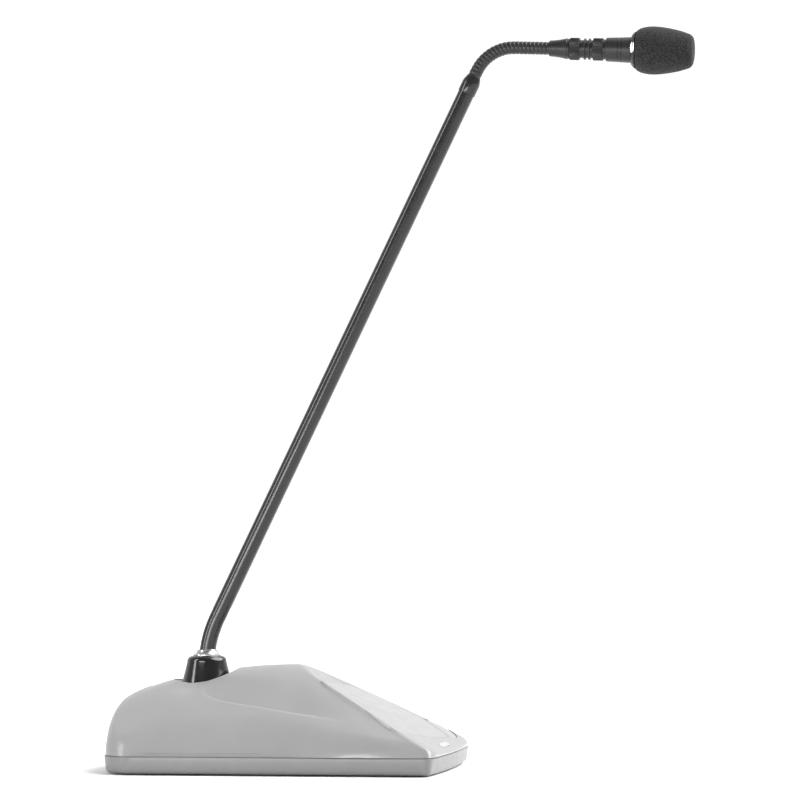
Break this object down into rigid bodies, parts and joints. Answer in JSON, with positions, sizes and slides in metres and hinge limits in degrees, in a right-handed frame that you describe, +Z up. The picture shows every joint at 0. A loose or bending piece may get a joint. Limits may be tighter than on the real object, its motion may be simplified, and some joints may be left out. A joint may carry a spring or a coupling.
{
  "type": "gooseneck podium microphone",
  "caption": "Weighted desk base with a hinged talk pad and a plug-in microphone on a bent tube with a short flexible neck and foam windscreen.",
  "frame": {"origin": "on the table under the axis of the microphone's plug, which stands in the rear half of the base", "axes": "+X forward, the way the head points; +Y to the user's left; +Z up"},
  "size_m": [0.2984, 0.112, 0.3662],
  "materials": {
    "base_shell": "light silver-grey fine satin paint",
    "base_tray": "silver-grey satin paint",
    "pad_plastic": "light silver-grey semi-gloss",
    "window_plastic": "pale translucent look, glossy",
    "badge_metal": "plain brushed plate with nothing on it",
    "grip_rubber": "matt, fine texture",
    "ballast_iron": "zinc plated",
    "spring_steel": "plain steel",
    "board_laminate": "green solder mask",
    "switch_plastic": "black nylon",
    "led_lens": "clear red lens",
    "connector_metal": "nickel plated",
    "insulator_plastic": "moulded black insulator",
    "contact_brass": "gold plated",
    "boot_metal": "gloss black",
    "collar_chrome": "polished",
    "stem_paint": "gloss black",
    "neck_metal": "semi-gloss black",
    "head_metal": "semi-gloss black",
    "mark_paint": "white enamel",
    "grille_steel": "blackened perforated sheet",
    "capsule_metal": "plain",
    "foam": "open-cell foam, very matt",
    "lead_jacket": "matt black jacket"
  },
  "bodies": {
    "base": {"bottom_tray": "base_tray", "ballast_plate": "ballast_iron", "grip_pad": "grip_rubber", "tray_screws": "spring_steel", "upper_shell": "base_shell", "circuit_board": "board_laminate", "board_screws": "spring_steel", "switch_body": "switch_plastic", "status_led": "led_lens", "status_window": "window_plastic", "blank_badge": "badge_metal", "pad_pin": "spring_steel", "pad_spring": "spring_steel", "socket_shell": "connector_metal", "socket_insert": "insulator_plastic", "socket_contacts": "contact_brass", "output_shell": "connector_metal", "output_insert": "insulator_plastic", "output_pins": "contact_brass", "output_screws": "spring_steel", "socket_lead": "lead_jacket", "output_lead": "lead_jacket"},
    "pad": {"talk_pad": "pad_plastic"},
    "plunger": {"switch_plunger": "switch_plastic"},
    "microphone": {"plug_shell": "connector_metal", "plug_insert": "insulator_plastic", "plug_pins": "contact_brass", "stem_anchor": "spring_steel", "plug_boot": "boot_metal", "boot_collar": "collar_chrome", "stem_tube": "stem_paint", "stem_lead": "lead_jacket", "tube_ferrule": "stem_paint", "neck_root": "neck_metal"},
    "link_1": {"neck_link_1": "neck_metal"},
    "link_2": {"neck_link_2": "neck_metal"},
    "link_3": {"neck_link_3": "neck_metal"},
    "link_4": {"neck_link_4": "neck_metal"},
    "link_5": {"neck_link_5": "neck_metal"},
    "link_6": {"neck_link_6": "neck_metal"},
    "link_7": {"neck_link_7": "neck_metal"},
    "link_8": {"neck_link_8": "neck_metal"},
    "link_9": {"neck_link_9": "neck_metal"},
    "head": {"neck_tip": "neck_metal", "tail_cone": "head_metal", "vent_core": "head_metal", "vent_discs": "head_metal", "front_ring": "head_metal", "barrel": "head_metal", "preamp_board": "board_laminate", "head_collar": "head_metal", "collar_mark": "mark_paint", "head_grille": "grille_steel", "capsule": "capsule_metal", "capsule_mount": "insulator_plastic"},
    "union": {"union_ring": "head_metal"},
    "foam": {"windscreen": "foam"}
  },
  "joints": [
    {"name": "mic_unplug", "type": "slide", "parent": "base", "child": "microphone", "axis": [0, 0, 1], "range_m": [0, 0.02]},
    {"name": "pad_press", "type": "hinge", "parent": "base", "child": "pad", "pos_m": [0.06554, 0, 0.03758], "axis": [0, 1, 0], "range_deg": [0, 1], "stiffness_Nm_per_rad": 2, "springref_deg": -1.15, "deforming": ["pad_spring"]},
    {"name": "plunger_press", "type": "slide", "parent": "base", "child": "plunger", "axis": [0, 0, -1], "range_m": [0, 0.0006]},
    {"name": "neck_pitch_1", "type": "hinge", "parent": "microphone", "child": "link_1", "pos_m": [0.13925, 0, 0.3472], "axis": [0, 1, 0], "range_deg": [-8, 4]},
    {"name": "neck_yaw_1", "type": "hinge", "parent": "link_1", "child": "link_2", "pos_m": [0.14136, 0, 0.35059], "axis": [-0.7923, 0, 0.6102], "range_deg": [-8, 8]},
    {"name": "neck_pitch_2", "type": "hinge", "parent": "link_2", "child": "link_3", "pos_m": [0.1441, 0, 0.35349], "axis": [0, 1, 0], "range_deg": [-8, 4]},
    {"name": "neck_yaw_2", "type": "hinge", "parent": "link_3", "child": "link_4", "pos_m": [0.14736, 0, 0.3558], "axis": [-0.4938, 0, 0.8696], "range_deg": [-8, 8]},
    {"name": "neck_pitch_3", "type": "hinge", "parent": "link_4", "child": "link_5", "pos_m": [0.15101, 0, 0.35742], "axis": [0, 1, 0], "range_deg": [-8, 4]},
    {"name": "neck_yaw_3", "type": "hinge", "parent": "link_5", "child": "link_6", "pos_m": [0.15491, 0, 0.35828], "axis": [-0.1182, 0, 0.993], "range_deg": [-8, 8]},
    {"name": "neck_pitch_4", "type": "hinge", "parent": "link_6", "child": "link_7", "pos_m": [0.1589, 0, 0.35836], "axis": [0, 1, 0], "range_deg": [-8, 4]},
    {"name": "neck_yaw_4", "type": "hinge", "parent": "link_7", "child": "link_8", "pos_m": [0.1629, 0, 0.35813], "axis": [0.0576, 0, 0.9983], "range_deg": [-8, 8]},
    {"name": "neck_pitch_5", "type": "hinge", "parent": "link_8", "child": "link_9", "pos_m": [0.16689, 0, 0.3579], "axis": [0, 1, 0], "range_deg": [-8, 4]},
    {"name": "neck_yaw_5", "type": "hinge", "parent": "link_9", "child": "head", "pos_m": [0.17088, 0, 0.35767], "axis": [0.0576, 0, 0.9983], "range_deg": [-8, 8]},
    {"name": "union_turn", "type": "hinge", "parent": "head", "child": "union", "pos_m": [0.17601, 0, 0.35737], "axis": [0.9983, 0, -0.0576], "continuous": true},
    {"name": "windscreen_off", "type": "slide", "parent": "head", "child": "foam", "axis": [0.9983, 0, -0.0576], "range_m": [0, 0.03]}
  ],
  "couplings": [
    {"joint": "plunger_press", "follows": "pad_press", "m_per_rad": 0.026457},
    {"joint": "neck_pitch_2", "follows": "neck_pitch_1", "ratio": 1},
    {"joint": "neck_yaw_2", "follows": "neck_yaw_1", "ratio": 1},
    {"joint": "neck_pitch_3", "follows": "neck_pitch_1", "ratio": 1},
    {"joint": "neck_yaw_3", "follows": "neck_yaw_1", "ratio": 1},
    {"joint": "neck_pitch_4", "follows": "neck_pitch_1", "ratio": 1},
    {"joint": "neck_yaw_4", "follows": "neck_yaw_1", "ratio": 1},
    {"joint": "neck_pitch_5", "follows": "neck_pitch_1", "ratio": 1},
    {"joint": "neck_yaw_5", "follows": "neck_yaw_1", "ratio": 1}
  ]
}
